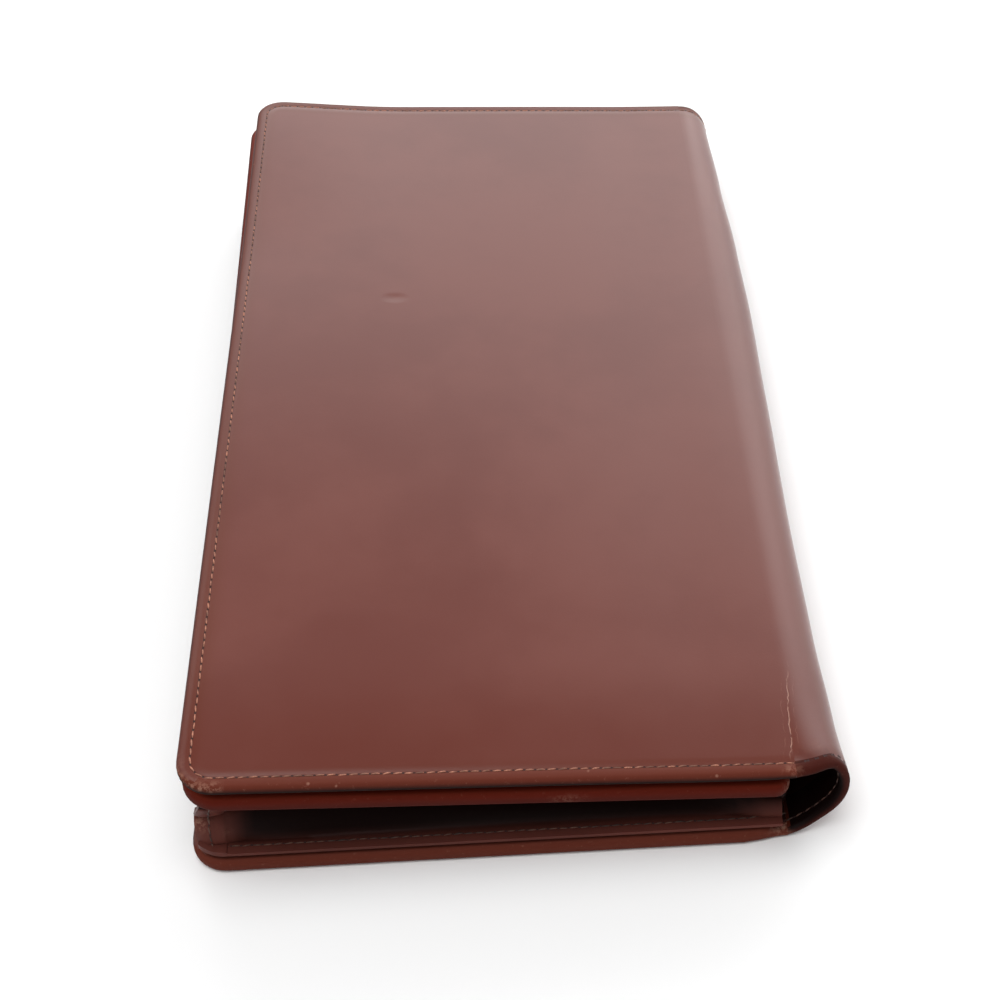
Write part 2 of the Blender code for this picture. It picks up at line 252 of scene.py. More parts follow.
def bevel_edges(obj, wanted, offset, segments):
    select_edges(obj, wanted)
    bpy.ops.mesh.bevel(offset=offset, segments=segments, affect="EDGES")


def block(name, low, high):
    """A box between two corners, left in edit mode."""
    deselect()
    size = Vector(high) - Vector(low)
    bpy.ops.mesh.primitive_cube_add(size=1, location=(Vector(high) + Vector(low)) / 2, scale=size)
    obj = name_new(name)
    bpy.ops.object.transform_apply(location=True, rotation=True, scale=True)
    bpy.ops.object.mode_set(mode="EDIT")
    return obj


def upright_at(x):
    """A test for the upright edges at x."""

    def test(edge):
        a, b = (v.co for v in edge.verts)
        return abs(a.x - x) < HAIR and abs(b.x - x) < HAIR and abs(a.z - b.z) > abs(a.y - b.y) + 1e-6

    return test


def rim_edge(edge):
    """An edge where a flat face meets the panel's side wall."""
    if len(edge.link_faces) != 2:
        return False
    steep = sorted(abs(face.normal.z) for face in edge.link_faces)
    return steep[0] < 0.2 and steep[1] > 0.8


def bisect_all(axis, places):
    """Cuts the mesh in edit mode across an axis at each place."""
    bpy.ops.mesh.select_mode(type="FACE")
    direction = Vector((0, 0, 0))
    direction[axis] = 1
    for place in places:
        bpy.ops.mesh.select_all(action="SELECT")
        bpy.ops.mesh.bisect(plane_co=direction * place, plane_no=direction)


def spread(first, last, step):
    """Places between first and last, about a step apart and half a step in from both."""
    count = max(1, round(abs(last - first) / step))
    return [first + (last - first) * (i + 0.5) / count for i in range(count)]


def keep_attributes(obj, **lists):
    """Keeps a list of one value per vertex under each name, for the materials to read."""
    for name, values in lists.items():
        obj.data.attributes.new(name, "FLOAT", "POINT").data.foreach_set("value", values)


def solidify(obj, thickness, offset, weights=None, thin_share=0.0):
    """Gives a sheet its thickness. weights per vertex run from thin_share of it, at 0, to all of it, at 1."""
    wall = obj.modifiers.new("leather", "SOLIDIFY")
    wall.thickness = thickness
    wall.offset = offset
    if weights:
        group = obj.vertex_groups.new(name="full_thickness")
        for index, weight in enumerate(weights):
            group.add([index], weight, "REPLACE")
        wall.vertex_group = group.name
        wall.thickness_vertex_group = thin_share
    pick(obj)
    bpy.ops.object.modifier_apply(modifier=wall.name)
    obj.vertex_groups.clear()


def smooth(obj, degrees=50):
    pick(obj)
    bpy.ops.object.shade_smooth_by_angle(angle=math.radians(degrees))


def merge_and_turn_out(obj, close_ends=False):
    """Merges doubled points, closes open ends where asked, and turns every face outwards."""
    pick(obj)
    bpy.ops.object.mode_set(mode="EDIT")
    bpy.ops.mesh.select_all(action="SELECT")
    bpy.ops.mesh.remove_doubles(threshold=1e-6)
    if close_ends:
        select_edges(obj, lambda edge: edge.is_boundary)
        bpy.ops.mesh.edge_face_add()
        bpy.ops.mesh.select_all(action="SELECT")
    bpy.ops.mesh.normals_make_consistent(inside=False)
    bpy.ops.object.mode_set(mode="OBJECT")


def grid_sheet(name, rows):
    """A sheet of leather through rows of points, from a grid that is pushed to its place."""
    deselect()
    bpy.ops.mesh.primitive_grid_add(x_subdivisions=len(rows[0]) - 1, y_subdivisions=len(rows) - 1, size=1)
    obj = name_new(name)
    order = sorted(obj.data.vertices, key=lambda v: (round(v.co.y, 6), round(v.co.x, 6)))
    for vert, point in zip(order, (point for row in rows for point in row)):
        vert.co = point
    return obj


# Panels


def unmoved(x, y):
    return x, y


class Panel(NamedTuple):
    """A stiff panel in its own frame: its face is at z 0, and x runs from 0 at the crease to -reach.

    skin is the depth of its turned leather, and thick its depth with the lining. shape(x, y) lifts it a
    little out of its plane, and moved(x, y) shifts its outline. With an end_radius it is turned at x 0 too.
    taper thins it towards the crease, wall_shade is the painted shade on the inner part of its side walls,
    and seam_depth how deep the stitches lie on its face. flanged says that the gussets' flanges are sewn to
    its inner side.
    """

    name: str
    place: Matrix
    reach: float
    skin: float
    thick: float
    shape: Callable
    moved: Callable = unmoved
    end_radius: float = 0.0
    taper: float = 0.0
    wall_shade: float = 0.0
    seam_depth: float = 0.0001
    flanged: bool = False


def edge_gap(panel, x, y):
    """How far a point of a panel lies inside its outline."""
    s = sizes()
    gap = min(x + panel.reach, s.half_length - abs(y))
    corners = [(s.corner_radius, s.corner_radius - panel.reach - x)]
    if panel.end_radius:
        gap = min(gap, -x)
        corners.append((panel.end_radius, panel.end_radius + x))
    for radius, past_centre in corners:
        past_side = abs(y) - (s.half_length - radius)
        if past_centre > 0 and past_side > 0:
            gap = radius - math.hypot(past_centre, past_side)
    return max(gap, 0.0)


def thinning(x, depth_share, taper):
    """How much a panel's inner side rises close to its crease."""
    return taper * min(depth_share, 1.0) * eased(x, -0.0068, 0.0)


def turned_shell(panel):
    """A panel's leather, turned over its free edges onto the inner side."""
    s = sizes()
    half = s.half_length
    obj = block(f"{panel.name}_skin", (-panel.reach, -half, -panel.skin), (0, half, 0))
    bevel_edges(obj, upright_at(-panel.reach), s.corner_radius, 9)
    closed = panel.end_radius > 0
    if closed:
        bevel_edges(obj, upright_at(0), panel.end_radius, 6)
    else:
        select_faces(obj, lambda face: face.normal.x > 0.9 and face.calc_center_median().x > -1e-4)
        bpy.ops.mesh.delete(type="FACE")
    tightest = panel.end_radius if closed else s.corner_radius
    select_faces(obj, lambda face: face.normal.z < -0.9)
    bpy.ops.mesh.inset(thickness=min(s.turn_width, 0.86 * tightest), depth=0, use_boundary=closed)
    bpy.ops.mesh.delete(type="FACE")
    rim = 0.38 * panel.skin
    bevel_edges(obj, rim_edge, rim, 5)
    face_area = 0.005
    select_faces(obj, lambda face: face.normal.z > 0.99 and face.calc_area() > face_area)
    margin_ring = 0.0018
    inside = rim
    for step in (s.stitch_inset - GROOVE - rim, GROOVE, GROOVE, margin_ring, margin_ring):
        inside += step
        if inside < tightest - 0.0001:
            bpy.ops.mesh.inset(thickness=step, depth=0, use_boundary=closed)
    bisect_all(0, spread(s.corner_radius - panel.reach, -0.007, SKIN_GRID))
    bisect_all(0, (-0.0058, *CREASE_ROWS))
    bisect_all(1, spread(s.corner_radius - half, half - s.corner_radius, SKIN_GRID))
    bpy.ops.object.mode_set(mode="OBJECT")
    gaps = []
    seams = []
    shades = []
    weights = []
    for vert in obj.data.vertices:
        x, y, z = vert.co
        depth_share = z / -panel.skin
        gap = edge_gap(panel, x, y)
        seam = max(0.0, 1.0 - abs(gap - s.stitch_inset) / GROOVE)
        gaps.append(gap)
        seams.append(seam)
        # Painted shade: the lower inner part of each side wall darkens by the panel's share.
        shades.append(panel.wall_shade * eased(depth_share, 0.10, 0.62))
        weights.append(0.0 if z < HAIR - panel.skin else 1.0)
        pressed = GROOVE_DEPTH * seam if z > -HAIR else 0.0
        vert.co.z += panel.shape(x, y) - pressed + thinning(x, depth_share, panel.taper)
    keep_attributes(obj, edge_gap=gaps, seam=seams, shade=shades)
    solidify(obj, s.leather, -1, weights, 0.5)
    smooth(obj)
    return obj


def inner_plate(panel, name, top, bottom, taper=0.0, end=-0.00015):
    """A lining or board between two depths under a panel's face. At an open crease it stops at end."""
    s = sizes()
    half = s.half_length - s.sewn_inset
    radius = s.corner_radius - s.sewn_inset
    low_x = s.sewn_inset - panel.reach
    high_x = -s.sewn_inset if panel.end_radius else end
    obj = block(name, (low_x, -half, bottom), (high_x, half, top))
    bevel_edges(obj, upright_at(low_x), radius, 8)
    if panel.end_radius:
        bevel_edges(obj, upright_at(high_x), max(panel.end_radius - s.sewn_inset, 0.001), 5)
    bevel_edges(obj, rim_edge, 0.3 * (top - bottom), 2)
    bisect_all(0, spread(low_x + radius, high_x - 0.004, PLATE_GRID))
    bisect_all(0, [place for place in CREASE_ROWS if place < high_x - 0.0003])
    bisect_all(1, spread(radius - half, half - radius, PLATE_GRID))
    bpy.ops.object.mode_set(mode="OBJECT")
    gaps = []
    for vert in obj.data.vertices:
        x, y, _ = vert.co
        gaps.append(min(x - low_x, half - abs(y)))
        vert.co.z += panel.shape(x, y) + thinning(x, 1.0, taper)
    keep_attributes(obj, edge_gap=gaps)
    smooth(obj)
    return obj


def add_layers(panel, cover, end_leather, wear):
    """A panel's skin and lining, dressed, worn, riding on the panel's body and standing for its solids."""
    skin = turned_shell(panel)
    top = -panel.skin - UNDER_SKIN
    lining = inner_plate(panel, f"{panel.name}_lining_skin", top, -panel.thick, panel.taper)
    for obj in (skin, lining):
        for vert in obj.data.vertices:
            vert.co.x, vert.co.y = panel.moved(vert.co.x, vert.co.y)
        obj.data.transform(panel.place)
    assign_wear(skin, wear)
    dress(skin, cover, panel.name)
    dull_near_end(skin, end_leather)
    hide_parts(f"{panel.name}_cover")
    dress(lining, lining_leather(), panel.name)
    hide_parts(f"{panel.name}_lining")
    return [skin, lining]


# Sewing


def stitch_pattern():
    """One stitch: a short thread that swells out of the leather and dives into it at both ends."""
    s = sizes()
    deselect()
    bpy.ops.mesh.primitive_uv_sphere_add(segments=8, ring_count=6, radius=1, rotation=(0, math.pi / 2, 0))
    obj = name_new("stitch_pattern")
    bpy.ops.object.transform_apply(location=True, rotation=True, scale=True)
    for vert in obj.data.vertices:
        dive = 0.25 * s.thread * vert.co.x**2
        vert.co.x *= 0.40 * s.stitch_pitch
        vert.co.y *= 0.5 * s.thread
        vert.co.z = 0.5 * s.thread * vert.co.z - dive
    return obj


def hole_pattern():
    """One needle hole: a small dark dimple whose rim lies on the leather."""
    s = sizes()
    deselect()
    bpy.ops.mesh.primitive_cylinder_add(vertices=8, radius=0.62 * s.thread, depth=0.2 * s.thread)
    obj = name_new("hole_pattern")
    bpy.ops.object.mode_set(mode="EDIT")
    select_faces(obj, lambda face: face.normal.z > 0.9)
    bpy.ops.mesh.inset(thickness=0.3 * s.thread, depth=-0.12 * s.thread)
    bpy.ops.object.mode_set(mode="OBJECT")
    return obj


def copies(name, pattern, places, material):
    """Copies of a pattern at each place, joined as one piece."""
    made = []
    for index, place in enumerate(places):
        mesh = pattern.data.copy()
        mesh.transform(place)
        copy = bpy.data.objects.new(f"{name}_{index}", mesh)
        bpy.context.scene.collection.objects.link(copy)
        made.append(copy)
    pick(made[0])
    for copy in made:
        copy.select_set(True)
    bpy.ops.object.join()
    joined = name_new(name)
    bpy.data.objects.remove(pattern)
    smooth(joined, 60)
    joined.data.materials.append(material)
    return joined


def row_places(points, bare):
    """Where the stitches and needle holes of a row go.

    points are (place, direction, normal). Where bare(place) is true, the thread is gone and the holes gape.
    """
    lift = 0.00004
    hole_sink = 0.00002
    stitches = []
    holes = []
    for index, (place, along, out) in enumerate(points):
        side = out.cross(along).normalized()
        chance = noise.noise(place * 2300)
        turned = (along + side * (0.12 + 0.22 * noise.noise(place * 1300))).normalized()
        basis = Matrix((turned, out.cross(turned).normalized(), out)).transposed().to_4x4()
        if index % 2:
            gape = 2.5 if bare(place) else 1.0
            stretch = Matrix.Diagonal((gape * (1 + 0.4 * chance), gape * (1 + 0.3 * chance), 1, 1))
            holes.append(Matrix.Translation(place + out * (lift - hole_sink)) @ basis @ stretch)
        elif not bare(place):
            spot = place + out * lift + side * noise.noise(place * 900) * 0.00012
            stretch = Matrix.Diagonal((1 + 0.18 * chance, 1 + 0.3 * chance, 1 + 0.4 * chance, 1))
            stitches.append(Matrix.Translation(spot) @ basis @ stretch)
    return stitches, holes


def never(place):
    return False


def sew(name, rows, in_shade=False, bare=never):
    """Threads and needle holes of several rows, as two pieces."""
    stitches = []
    holes = []
    for points in rows:
        row_stitches, row_holes = row_places(points, bare)
        stitches += row_stitches
        holes += row_holes
    # Painted shade: stitches inside the wallet take a darker copy of the thread.
    thread = thread_material("sewing_thread_aged", 0.22) if in_shade else thread_material("sewing_thread", 1.0)
    return [
        copies(f"{name}_thread", stitch_pattern(), stitches, thread),
        copies(f"{name}_needle_holes", hole_pattern(), holes, hole_material("needle_hole")),
    ]


def even_steps(path, step):
    """Points at even steps along a path, each with its direction."""
    lengths = [0.0]
    for a, b in zip(path, path[1:]):
        lengths.append(lengths[-1] + (b - a).length)
    count = max(2, round(lengths[-1] / step))
    found = []
    segment = 0
    for i in range(count):
        target = lengths[-1] * (i + 0.5) / count
        while lengths[segment + 1] < target:
            segment += 1
        a, b = path[segment], path[segment + 1]
        share = (target - lengths[segment]) / max(lengths[segment + 1] - lengths[segment], 1e-9)
        found.append((a.lerp(b, share), (b - a).normalized()))
    return found


def seam_line(panel):
    """Points and directions at even steps along a panel's row of stitches, in its frame."""
    s = sizes()
    half = s.half_length - s.stitch_inset
    free = s.stitch_inset - panel.reach
    radius = s.corner_radius - s.stitch_inset
    corners = [
        (free + radius, -half + radius, radius, -0.5 * math.pi),
        (free + radius, half - radius, radius, -math.pi),
    ]
    path = []
    if panel.end_radius:
        end = -s.stitch_inset
        turn = max(panel.end_radius - s.stitch_inset, 0.0006)
        corners.append((end - turn, half - turn, turn, -1.5 * math.pi))
        corners.append((end - turn, -half + turn, turn, -2 * math.pi))
    else:
        end = -0.0004
        path.append(Vector((end, -half)))
    steps = 10
    for x, y, around, start in corners:
        for i in range(steps + 1):
            angle = start - 0.5 * math.pi * i / steps
            path.append(Vector((x + around * math.cos(angle), y + around * math.sin(angle))))
    path.append(path[0].copy() if panel.end_radius else Vector((end, half)))
    return even_steps(path, s.stitch_pitch / 2)


def on_flange(x, y):
    """How much deeper stitches lie on a panel's inner side, where they go through a gusset's flange."""
    s = sizes()
    return -0.00122 * eased(abs(y), s.half_length - 0.0052, s.half_length - 0.0047) if x < -0.003 else 0.0


def sew_panel(panel, in_shade=False):
    """The panel's rows of stitches, one on its face (outward 1) and one on its inner side (outward -1)."""
    rows = []
    turn = panel.place.to_3x3()
    for depth, outward in ((panel.seam_depth, 1), (panel.thick, -1)):
        row = []
        out = (turn @ Vector((0, 0, outward))).normalized()
        for spot, direction in seam_line(panel):
            lift = panel.shape(spot.x, spot.y)
            if panel.flanged and outward < 0:
                lift += on_flange(spot.x, spot.y)
            place = panel.place @ Vector((*panel.moved(spot.x, spot.y), lift - depth))
            row.append((place, (turn @ Vector((*direction, 0))).normalized(), out))
        rows.append(row)
    pieces = sew(panel.name, rows, in_shade)
    for piece in pieces:
        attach(piece, panel.name)
    return pieces


# Materials


class Nodes:
    """A node tree, with short calls for the nodes that the finishes are wired from.

    An input is a number, a vector, a colour of three numbers or another node's output.
    """

    def __init__(self, owner, coordinates="Object"):
        owner.use_nodes = True
        self.tree = owner.node_tree
        self.where = self.add("ShaderNodeTexCoord", {}).outputs[coordinates]

    def plug(self, value, socket):
        if isinstance(value, bpy.types.NodeSocket):
            self.tree.links.new(value, socket)
        else:
            socket.default_value = (*value, 1.0) if socket.type == "RGBA" else value

    def add(self, kind, inputs, **settings):
        node = self.tree.nodes.new(kind)
        for key, value in settings.items():
            setattr(node, key, value)
        for key, value in inputs.items():
            self.plug(value, node.inputs[key])
        return node

    def math(self, operation, first, second=0.0):
        return self.add("ShaderNodeMath", {0: first, 1: second}, operation=operation).outputs[0]

    def plus(self, first, second):
        return self.math("ADD", first, second)

    def minus(self, first, second):
        return self.math("SUBTRACT", first, second)

    def times(self, first, second):
        return self.math("MULTIPLY", first, second)

    def most(self, first, second):
        return self.math("MAXIMUM", first, second)

    def vector(self, operation, first, second=(0, 0, 0)):
        return self.add("ShaderNodeVectorMath", {0: first, 1: second}, operation=operation).outputs

    def axes(self):
        return self.add("ShaderNodeSeparateXYZ", {"Vector": self.where}).outputs

    def attribute(self, name):
        return self.add("ShaderNodeAttribute", {}, attribute_name=name).outputs["Fac"]

    def noise(self, scale, detail, rough, where=None):
        inputs = {"Vector": self.where if where is None else where, "Scale": scale}
        return self.add("ShaderNodeTexNoise", {**inputs, "Detail": detail, "Roughness": rough}).outputs["Fac"]

    def cells(self, scale):
        return self.add("ShaderNodeTexVoronoi", {"Vector": self.where, "Scale": scale}, feature="F1").outputs

    def ramp(self, value, low, high, to_low=0.0, to_high=1.0):
        """Maps low to high smoothly onto to_low to to_high."""
        inputs = {"Value": value, "From Min": low, "From Max": high, "To Min": to_low, "To Max": to_high}
        return self.add("ShaderNodeMapRange", inputs, interpolation_type="SMOOTHSTEP").outputs["Result"]

    def mix(self, share, first, second):
        """A mix of two colours."""
        return self.add("ShaderNodeMix", {0: share, 6: first, 7: second}, data_type="RGBA").outputs[2]


class Finish(Nodes):
    """A material in the making, whose colour, roughness and bumps each step changes."""

    def __init__(self, name):
        self.material = bpy.data.materials.new(name)
        super().__init__(self.material)
        self.shader = self.tree.nodes["Principled BSDF"]
        self.colour = (0.5, 0.5, 0.5)
        self.rough = 0.5

    def tint(self, share, colour):
        self.colour = self.mix(share, self.colour, colour)

    def roughen(self, amount):
        self.rough = self.plus(self.rough, amount)

    def bump(self, height, distance, strength):
        """Adds a bump on top of those before it. Its distance is in metres."""
        node = self.add("ShaderNodeBump", {"Height": height, "Strength": strength, "Distance": distance})
        normal = self.shader.inputs["Normal"]
        for link in normal.links:
            self.plug(link.from_socket, node.inputs["Normal"])
        self.plug(node.outputs["Normal"], normal)

    def set_uniform(self, **values):
        """Sets sockets of the shader; an underscore stands for a space."""
        for name, value in values.items():
            self.shader.inputs[name.replace("_", " ")].default_value = value

    def wire_up(self):
        self.plug(self.colour, self.shader.inputs["Base Color"])
        self.plug(self.rough, self.shader.inputs["Roughness"])


def built_once(build):
    """Turns build(look, ...) into a call by the material's name, which builds it only the first time."""

    def find(name, *args, **kwargs):
        if name not in bpy.data.materials:
            look = Finish(name)
            build(look, *args, **kwargs)
            look.wire_up()
        return bpy.data.materials[name]

    return find


@built_once
def leather(
    look, base, pale, roughness, gloss, sewn=True, rubbed=1.0, rim_shade=0.85, deep=False, marks=False, nicks=()
):
    """Smooth polished leather with clouds, pores and flecks.

    Sewn leather shows its seam and rubbed edges too, and rim_shade is the painted shade on its rims and side
    walls. Deep leather gets painted shade inside the wallet, and marks adds the cover's own marks of use and a
    painted shade along its near end.
    """
    clouds = look.noise(19.0, 3.0, 0.55)
    mottle = look.noise(170.0, 4.0, 0.6)
    tone = look.plus(look.times(clouds, 0.85), look.times(mottle, 0.15))
    look.colour = look.mix(look.ramp(tone, 0.36, 0.64), base, pale)
    look.rough = look.plus(look.times(mottle, 0.02), roughness - 0.035)
    look.roughen(look.times(clouds, 0.05))
    look.bump(look.noise(1500.0, 4.0, 0.65), 0.00002, 0.30)
    look.bump(look.ramp(look.cells(1250.0)["Distance"], 0.0, 0.42), 0.000016, 0.30)
    flecks = look.cells(75.0)
    near_fleck = look.ramp(flecks["Distance"], 0.016, 0.032, 1.0, 0.0)
    chance = look.add("ShaderNodeSeparateColor", {"Color": flecks["Color"]}).outputs[0]
    fleck = look.times(near_fleck, look.ramp(chance, 0.80, 0.82))
    look.tint(look.times(fleck, 0.55), colours().worn)
    if sewn:
        show_sewing(look, base, rubbed, rim_shade, nicks)
    if deep:
        look.tint(frayed_end(look), toned(base, 0.42, 0.14, 0.10))
        # Painted shade: the leather darkens to near black where its shade attribute puts it inside the wallet.
        look.tint(look.times(look.attribute("shade"), 0.97), toned(base, 0.05))
    if marks:
        show_marks(look)
    look.set_uniform(Specular_IOR_Level=gloss)


def show_sewing(look, base, rubbed, rim_shade, nicks):
    """Darker margins, painted shade on the rims and side walls, rubbed rims, scuffed spots, and the groove of
    the seam.
    """
    gap = look.attribute("edge_gap")
    patches = look.noise(950.0, 6.0, 0.7)
    # Darker bands towards the edge; the last one, on the rims and side walls, is painted shade.
    margins = (
        (0.0026, 0.0075, 0.45, (0.90, 0.80, 0.50)),
        (0.0002, 0.0034, 0.55, (0.75, 0.45, 0.25)),
        (0.0001, 0.0009, rim_shade, (0.30, 0.10, 0.08)),
    )
    for start, end, strength, shares in margins:
        look.tint(look.times(look.ramp(gap, start, end, 1.0, 0.0), strength), toned(base, *shares))
    rim = look.times(look.ramp(gap, 0.0002, 0.0016, 1.0, 0.0), look.ramp(patches, 0.58, 0.74))
    spots = look.times(look.attribute("wear"), look.ramp(patches, 0.42, 0.60))
    rubbing = look.most(look.times(rim, 0.30 * rubbed), spots)
    for spot, radius in nicks:
        rubbing = look.most(rubbing, nick(look, patches, spot, radius))
    look.tint(rubbing, colours().worn)
    look.tint(look.times(look.ramp(look.attribute("seam"), 0.15, 0.9), 0.6), toned(base, 0.35))
    look.roughen(look.times(rubbing, 0.30))
    look.roughen(look.ramp(gap, 0.0006, 0.0022, 0.34, 0.0))
    look.bump(look.times(patches, rubbing), 0.00003, 0.5)


def nick(look, patches, spot, radius):
    """A small ragged spot where the leather is scuffed through."""
    away = look.vector("DISTANCE", look.where, spot)["Value"]
    ragged = look.times(look.minus(patches, 0.5), 2.0 * radius)
    return look.ramp(look.plus(away, ragged), 0.25 * radius, radius, 0.42, 0.0)


def frayed_end(look):
    """Where the rolled spine's near end is frayed and dark, with a ragged inner limit."""
    x, y, _ = look.axes()
    ragged_y = look.plus(y, look.times(look.noise(520.0, 4.0, 0.65), 0.0060))
    return look.times(look.ramp(x, 0.0594, 0.0616), look.ramp(ragged_y, -0.1230, -0.1196, 0.58, 0.0))


def show_marks(look):
    """A painted shade along the near end, and marks of use: cracks along the crease, a dent and a duller roll.
    """
    c = colours()
    x, y, _ = look.axes()
    # Painted shade: a darker band along the near end.
    near_end_shade = look.times(look.ramp(y, -0.1280, -0.1262), look.ramp(y, -0.122, -0.094, 0.65, 0.0))
    look.tint(near_end_shade, toned(c.cover, 0.80, 0.45, 0.25))
    look.roughen(look.ramp(x, 0.0600, 0.0650, 0.0, 0.12))
    wander = look.times(look.minus(look.noise(130.0, 3.0, 0.6), 0.5), 0.0034)
    drift = look.times(look.plus(y, 0.120), 0.10)
    crack_middle = 0.0596
    crack_spacing = 0.0013
    crack_x = look.plus(look.plus(crack_middle, wander), drift)
    away = look.math("ABSOLUTE", look.minus(x, crack_x))
    beside = look.math("ABSOLUTE", look.minus(away, crack_spacing))
    crack = look.ramp(away, 0.00004, 0.00016, 1.0, 0.0)
    crack = look.most(crack, look.ramp(beside, 0.00003, 0.00012, 0.16, 0.0))
    broken = look.ramp(look.noise(420.0, 2.0, 0.5), 0.40, 0.56)
    stretch = look.times(look.ramp(y, -0.127, -0.122), look.ramp(y, -0.108, -0.098, 1.0, 0.0))
    crack = look.times(look.times(crack, broken), stretch)
    look.tint(look.times(crack, 0.75), c.worn)
    dent_centre = (-0.0270, 0.0334, 0.0285)
    oval = look.vector("MULTIPLY", look.vector("SUBTRACT", look.where, dent_centre)[0], (0.75, 1.3, 0.2))[0]
    look.bump(look.ramp(look.vector("LENGTH", oval)["Value"], 0.0, 0.0034), 0.00016, 0.6)
    look.bump(look.minus(1.0, crack), 0.00006, 0.8)


def cover_nicks():
    """Where the cover's near edge is scuffed, each with its radius."""
    near = -sizes().half_length
    return (
        ((0.0159, near + 0.0022, 0.0276), 0.0005),
        ((0.0429, near + 0.0002, 0.0262), 0.0005),
        ((-0.0423, near + 0.0008, 0.0303), 0.0005),
        ((-0.0365, near + 0.0003, 0.0298), 0.0004),
    )


def cover_leather(name, marks=False, deep=False):
    c = colours()
    return leather(name, c.cover, c.cover_pale, 0.30, 0.40, marks=marks, deep=deep, nicks=cover_nicks())


def spine_leather():
    hide = cover_leather("spine_leather", marks=True, deep=True)
    for name in ("Sheen Weight", "Sheen Roughness"):
        hide.node_tree.nodes["Principled BSDF"].inputs[name].default_value = 0.30
    return hide


def cover_end_leather():
    """The cover's leather on its near end, where hands have rubbed the polish off, with painted shade on its
    rims and lower walls.
    """
    base = colours().cover
    pale = toned(base, 1.1)
    return leather("cover_end", base, pale, 0.42, 0.09, rubbed=0.8, rim_shade=0.10, deep=True, nicks=cover_nicks())


def spine_end_leather():
    """The rolled spine's raw near end, dark and rough, which also covers its turned-in ends, where it gets
    painted shade.
    """
    base = toned(colours().cover, 0.62)
    return leather("spine_end", base, toned(base, 1.3), 0.50, 0.10, rim_shade=0.2, deep=True)


def leaf_leather():
    base = colours().leaf
    return leather("leaf_hide", base, toned(base, 1.25), 0.30, 0.14, rubbed=0.4)


def leaf_end_leather():
    # The leaf's near end: duller, with painted shade on its rims and lower walls.
    base = colours().leaf
    return leather("leaf_end", base, toned(base, 1.2), 0.36, 0.07, rubbed=0.4, rim_shade=0.45, deep=True)


def gusset_leather():
    base = colours().gusset
    return leather("gusset_hide", base, toned(base, 1.35), 0.40, 0.05, rubbed=0.8, deep=True)


def lining_leather():
    base = colours().lining
    return leather("lining_hide", base, toned(base, 1.3), 0.50, 0.05, sewn=False)


@built_once
def thread_material(look, share):
    """The sewing thread. share darkens it where the wallet's inside keeps it from the light."""
    new = toned(colours().thread, share)
    twist = look.noise(2600.0, 2.0, 0.5)
    age = look.noise(240.0, 3.0, 0.6)
    fibres = look.mix(look.ramp(twist, 0.35, 0.65), toned(new, 0.55), new)
    look.colour = look.mix(look.ramp(age, 0.40, 0.56), toned(new, 0.30), fibres)
    look.rough = 0.62
    look.bump(twist, 0.00004, 0.6)


@built_once
def hole_material(look):
    # Painted shade: the holes' near-black colour stands for the shade inside them.
    dark = colours().needle_hole
    look.colour = look.mix(look.noise(300.0, 2.0, 0.5), dark, toned(dark, 1.8))
    look.rough = 0.8


@built_once
def board_material(look):
    board = colours().board
    stretch = {"Vector": look.where, "Scale": (900.0, 120.0, 900.0)}
    fibres = look.noise(1.0, 4.0, 0.7, look.add("ShaderNodeMapping", stretch).outputs[0])
    look.colour = look.mix(look.ramp(fibres, 0.3, 0.7), toned(board, 0.75), board)
    look.tint(look.times(look.noise(60.0, 3.0, 0.6), 0.25), toned(board, 1.2))
    look.rough = look.ramp(fibres, 0.2, 0.8, 0.78, 0.95)
    look.bump(fibres, 0.00005, 0.5)


def dress(obj, material, body=None):
    obj.data.materials.clear()
    obj.data.materials.append(material)
    if body:
        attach(obj, body)


def dull_near_end(obj, material):
    """Gives the margin and walls of a panel's near end their own duller finish, which carries painted shade.
    """
    obj.data.materials.append(material)
    margin = 0.0028 - sizes().half_length
    wall_margin = 0.0075 - sizes().half_length
    for face in obj.data.polygons:
        wall = face.normal.y < -0.2 and abs(face.normal.z) < 0.95
        if face.center.y < (wall_margin if wall else margin):
            face.material_index = 1


def corner_spots(x, y, z, radius, strength):
    """Rubbed spots round the near left corner of a panel whose outline's corner is at x, y."""
    s = sizes()
    spots = []
    for i in range(9):
        angle = math.pi * (1.0 + 0.5 * i / 8)
        across = s.corner_radius * (1 + math.cos(angle))
        along = s.corner_radius * (1 + math.sin(angle))
        spots.append((x + across, y + along, z, radius, strength))
    return spots


def assign_wear(obj, spots):
    """Rubbed places: each spot is (x, y, z, radius, strength)."""
    values = []
    for vert in obj.data.vertices:
        most = 0.0
        for x, y, z, radius, strength in spots:
            away = (vert.co - Vector((x, y, z))).length / radius
            most = max(most, strength * math.exp(-away * away))
        values.append(most)
    keep_attributes(obj, wear=values)


# Flap, leaf and back


def ripple(x, y, seed, height):
    return noise.noise(Vector((x * 13 + seed, y * 8, seed * 1.7))) * height


def flap_shape(x, y):
    """The flap lifts to meet the spine at the crease, and curls at its far free corner."""
    rise = 0.00030 * eased(x, -0.022, 0.0015)
    curl = 0.0022 * eased(-x, 0.086, 0.134) * eased(y, 0.050, 0.135)
    return rise + curl + ripple(x, y, 3.1, 0.00030) * eased(-x, 0.004, 0.030)


def leaf_shape(x, y):
    return ripple(x, y, 7.7, 0.00022) * eased(-x, 0.0, 0.02)


def leaf_askew(x, y):
    """The leaf lies askew, so its far free corner peeps out, and its near edge lies back a little."""
    s = sizes()
    along = max(y + s.half_length, 0.0) / (2 * s.half_length)
    slip = (0.0033 * along**1.4 - 0.0009) * eased(-x, 0.0, s.leaf_reach)
    return x - slip, y + 0.0005 * eased(-y, 0.10, s.half_length)


def back_shape(x, y):
    return 0.0


def back_recess(x, y):
    """How far the back's near edge stands back, most of all where it runs into the spine."""
    s = sizes()
    return (0.0005 + 0.0015 * eased(x, 0.0500, s.crease_x)) * eased(-y, 0.05, s.half_length)


